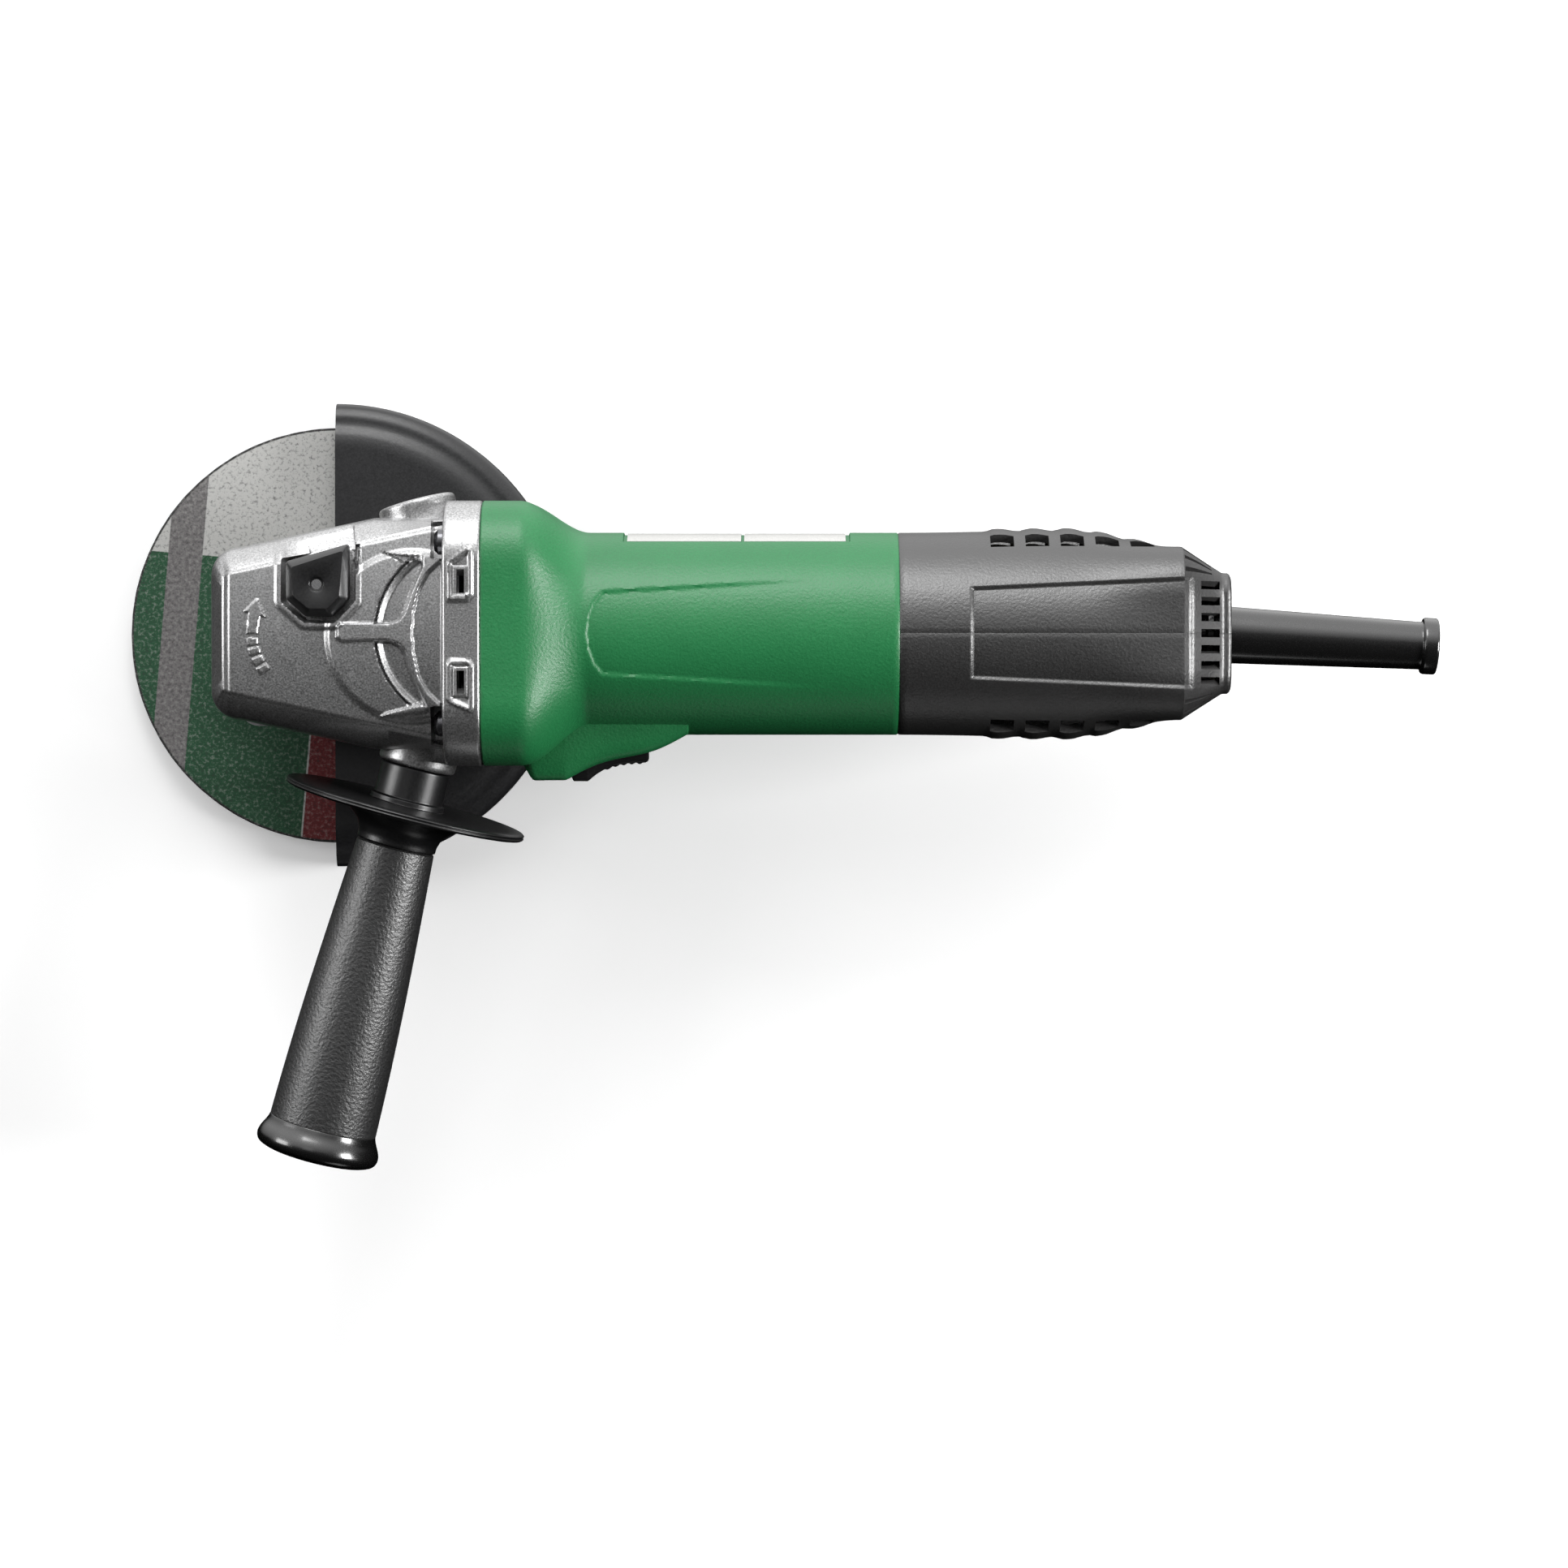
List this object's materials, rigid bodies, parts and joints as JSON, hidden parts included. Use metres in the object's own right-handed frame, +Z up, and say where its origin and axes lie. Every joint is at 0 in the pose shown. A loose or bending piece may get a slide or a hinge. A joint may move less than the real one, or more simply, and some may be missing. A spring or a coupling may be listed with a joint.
{
  "type": "angle grinder",
  "caption": "Corded angle grinder with depressed-centre grinding wheel, steel guard, side handle, slide switch, spindle lock, bevel gears and universal motor.",
  "frame": {"origin": "free tip of the spindle thread, on the spindle axis", "axes": "+Z up the spindle from its free tip into the gear head, +X parallel to the motor axis from the gear head to the cord end, +Y to the right-hand side, where the side handle is not fitted"},
  "size_m": [0.3872, 0.226, 0.0925],
  "materials": {
    "silver_paint": "satin",
    "bare_casting": "matte",
    "black_screws": "satin",
    "zinc_screws": "satin",
    "felt_seal": "matte",
    "bearing_steel": "polished",
    "machined_steel": "machined",
    "gear_steel": "oiled",
    "blackened_steel": "satin",
    "resin_bonded_abrasive": "granular",
    "black_guard_paint": "satin",
    "green_plastic": "grained",
    "dark_grey_plastic": "grained",
    "black_plastic": "satin",
    "handle_rubber": "pebbled",
    "black_gloss": "gloss",
    "bush_rubber": "matte",
    "fan_plastic": "moulded",
    "laminated_steel": "laminated",
    "enamelled_copper": "varnished",
    "commutator_copper": "turned",
    "sheet_brass": "satin",
    "carbon": "matte",
    "spring_steel": "drawn",
    "filter_case": "gloss",
    "lead_insulation": "gloss",
    "plain_plate": "satin"
  },
  "bodies": {
    "housing": {"gear_case": "silver_paint", "gear_case_screws": "black_screws", "bearing_cover": "bare_casting", "bearing_cover_screws": "zinc_screws", "dust_seal": "felt_seal", "spindle_bearing_outer": "bearing_steel", "top_bearing_outer": "bearing_steel", "bearing_holder": "bare_casting", "pinion_bearing_outer": "bearing_steel", "fan_baffle": "black_plastic", "motor_housing": "green_plastic", "stator_core": "laminated_steel", "field_coils": "enamelled_copper", "stator_screws": "black_screws", "brush_holder_top": "sheet_brass", "brush_holder_bottom": "sheet_brass", "rear_bearing_outer": "bearing_steel", "rear_bearing_bush": "bush_rubber", "tail_cover_left": "dark_grey_plastic", "tail_cover_right": "dark_grey_plastic", "tapping_screws": "black_screws", "switch_body": "black_plastic", "noise_filter": "filter_case", "cord_clamp": "black_plastic", "cord_sleeve": "black_gloss", "switch_leads": "lead_insulation", "name_plates": "plain_plate", "lock_spring": "spring_steel", "brush_spring_top": "spring_steel", "brush_spring_bottom": "spring_steel"},
    "spindle": {"spindle": "machined_steel", "bevel_gear": "gear_steel", "gear_key": "machined_steel", "inner_flange": "blackened_steel", "grinding_wheel": "resin_bonded_abrasive", "lock_nut": "blackened_steel", "spindle_bearing_inner": "bearing_steel", "top_bearing_inner": "bearing_steel"},
    "armature": {"armature_shaft": "machined_steel", "armature_core": "laminated_steel", "armature_windings": "enamelled_copper", "commutator": "commutator_copper", "fan": "fan_plastic", "pinion": "gear_steel", "pinion_nut": "gear_steel", "pinion_bearing_inner": "bearing_steel", "rear_bearing_inner": "bearing_steel"},
    "lock_button": {"lock_button": "black_plastic", "lock_pin": "machined_steel"},
    "switch_slide": {"slide_bar": "black_plastic"},
    "switch_knob": {"switch_knob": "black_plastic"},
    "guard": {"wheel_guard": "black_guard_paint", "guard_clamp_screw": "zinc_screws"},
    "side_handle": {"handle_stud": "machined_steel", "handle_core": "black_plastic", "handle_grip": "handle_rubber", "handle_end_cap": "black_plastic"},
    "brush_top": {"carbon_brush_top": "carbon"},
    "brush_bottom": {"carbon_brush_bottom": "carbon"}
  },
  "joints": [
    {"name": "spindle_spin", "type": "hinge", "parent": "housing", "child": "spindle", "pos_m": [0, 0, 0.02], "axis": [0, 0, 1], "continuous": true},
    {"name": "armature_spin", "type": "hinge", "parent": "housing", "child": "armature", "pos_m": [0.1, 0, 0.056], "axis": [1, 0, 0], "continuous": true},
    {"name": "lock_press", "type": "slide", "parent": "housing", "child": "lock_button", "axis": [0, 0, -1], "range_m": [0, 0.004], "stiffness_N_per_m": 500, "springref_m": -0.004, "deforming": ["lock_spring"]},
    {"name": "switch_slide", "type": "slide", "parent": "housing", "child": "switch_slide", "axis": [-1, 0, 0], "range_m": [0, 0.006], "stiffness_N_per_m": 300, "springref_m": -0.006},
    {"name": "switch_tilt", "type": "hinge", "parent": "switch_slide", "child": "switch_knob", "pos_m": [0.0904, -0.0316, 0.056], "axis": [0, 0, -1], "range_deg": [0, 2.5], "stiffness_Nm_per_rad": 0.1, "springref_deg": -2.86},
    {"name": "guard_turn", "type": "hinge", "parent": "housing", "child": "guard", "pos_m": [0, 0, 0.02], "axis": [0, 0, 1], "range_deg": [-90, 90]},
    {"name": "handle_pull", "type": "slide", "parent": "housing", "child": "side_handle", "axis": [-0.2553, -0.9662, -0.0349], "range_m": [0, 0.03]},
    {"name": "brush_feed_top", "type": "slide", "parent": "housing", "child": "brush_top", "axis": [0, 0, 1], "range_m": [0, 0.0025], "stiffness_N_per_m": 200, "springref_m": -0.004, "deforming": ["brush_spring_top"]},
    {"name": "brush_feed_bottom", "type": "slide", "parent": "housing", "child": "brush_bottom", "axis": [0, 0, -1], "range_m": [0, 0.0025], "stiffness_N_per_m": 200, "springref_m": -0.004, "deforming": ["brush_spring_bottom"]}
  ],
  "couplings": [
    {"joint": "armature_spin", "follows": "spindle_spin", "ratio": -3.3636}
  ]
}
